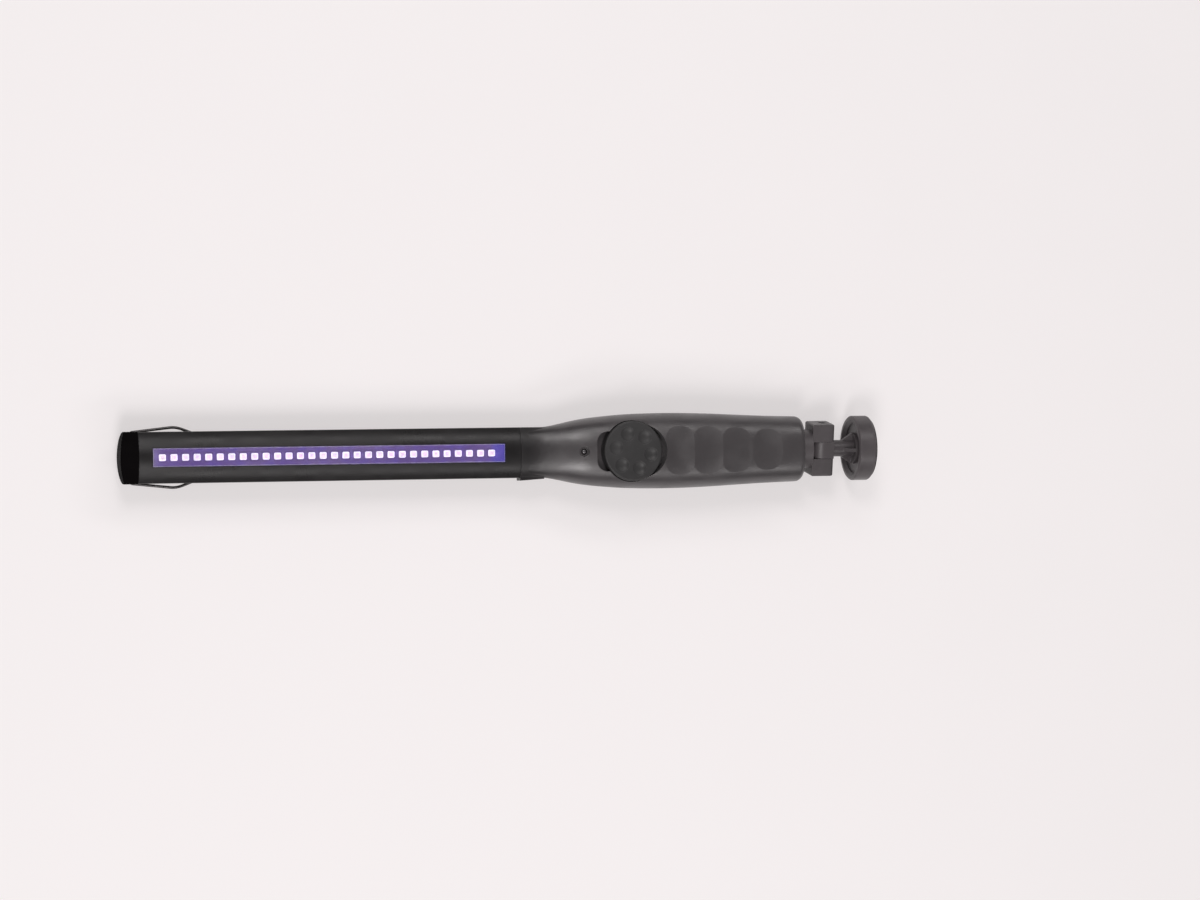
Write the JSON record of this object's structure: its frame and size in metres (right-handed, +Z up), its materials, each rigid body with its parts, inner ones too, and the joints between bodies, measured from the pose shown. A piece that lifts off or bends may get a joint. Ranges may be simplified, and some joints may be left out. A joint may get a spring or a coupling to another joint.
{
  "type": "uv sanitizer wand",
  "caption": "Slim hand-held ultraviolet light wand with a dial in its flared handle, a folding wire hanger and a magnetic base on a tilting, swivelling yoke.",
  "frame": {"origin": "under the middle of the wand, on the surface it lies on", "axes": "+X from the capped tip to the magnetic base, +Y across the wand, +Z up out of the side with the light"},
  "size_m": [0.406, 0.0402, 0.0347],
  "materials": {
    "bar_plastic": "fine grained black moulding",
    "lens": "clear polished strip",
    "board": "white solder mask",
    "emitter": "pale moulded package",
    "cap_plastic": "smooth black",
    "screw_steel": "plated steel",
    "hanger_chrome": "dark plated wire",
    "soft_handle": "soft-touch black",
    "dial_plastic": "satin black",
    "pot_metal": "plain",
    "nut_brass": "turned",
    "indicator": "smoked moulded dome",
    "inner_plastic": "natural nylon",
    "socket_steel": "nickel plated",
    "flap_rubber": "soft black",
    "cell_wrap": "satin sleeve",
    "lead_jacket": "smooth",
    "yoke_plastic": "satin black",
    "base_plastic": "satin black",
    "magnet": "plated"
  },
  "bodies": {
    "handle": {"bar_housing": "bar_plastic", "window_lens": "lens", "led_board": "board", "led_emitters": "emitter", "end_cap": "cap_plastic", "cap_screw": "screw_steel", "handle_front_shell": "soft_handle", "handle_rear_shell": "soft_handle", "case_screws": "screw_steel", "pot_body": "pot_metal", "pot_nut": "nut_brass", "control_board": "board", "board_screws": "screw_steel", "indicator_led": "indicator", "led_standoff": "inner_plastic", "charge_socket": "socket_steel", "battery_cell": "cell_wrap", "battery_tabs": "socket_steel", "lead_wires": "lead_jacket", "friction_washer": "inner_plastic"},
    "dial": {"dial_knob": "dial_plastic", "pot_shaft": "pot_metal"},
    "hanger": {"hanger_wire": "hanger_chrome"},
    "flap": {"port_flap": "flap_rubber"},
    "yoke": {"swivel_yoke": "yoke_plastic", "tilt_pin": "screw_steel"},
    "base": {"base_arm": "yoke_plastic", "magnet_cup": "base_plastic", "magnet_disc": "magnet", "magnet_pad": "flap_rubber", "base_screw": "screw_steel"}
  },
  "joints": [
    {"name": "dial_turn", "type": "hinge", "parent": "handle", "child": "dial", "pos_m": [0.0672, 0, 0.03255], "axis": [0, 0, 1], "range_deg": [-150, 150]},
    {"name": "hanger_swing", "type": "hinge", "parent": "handle", "child": "hanger", "pos_m": [-0.196, 0, 0.00895], "axis": [0, 1, 0], "range_deg": [0, 180]},
    {"name": "flap_open", "type": "hinge", "parent": "handle", "child": "flap", "pos_m": [0.0537, 0, 0.0001], "axis": [0, 1, 0], "range_deg": [0, 110]},
    {"name": "yoke_swivel", "type": "hinge", "parent": "handle", "child": "yoke", "pos_m": [0.1762, 0, 0.01735], "axis": [1, 0, 0], "continuous": true},
    {"name": "base_tilt", "type": "hinge", "parent": "yoke", "child": "base", "pos_m": [0.1762, 0, 0.01735], "axis": [0, 0.9848, 0.1736], "range_deg": [-60, 60]}
  ]
}
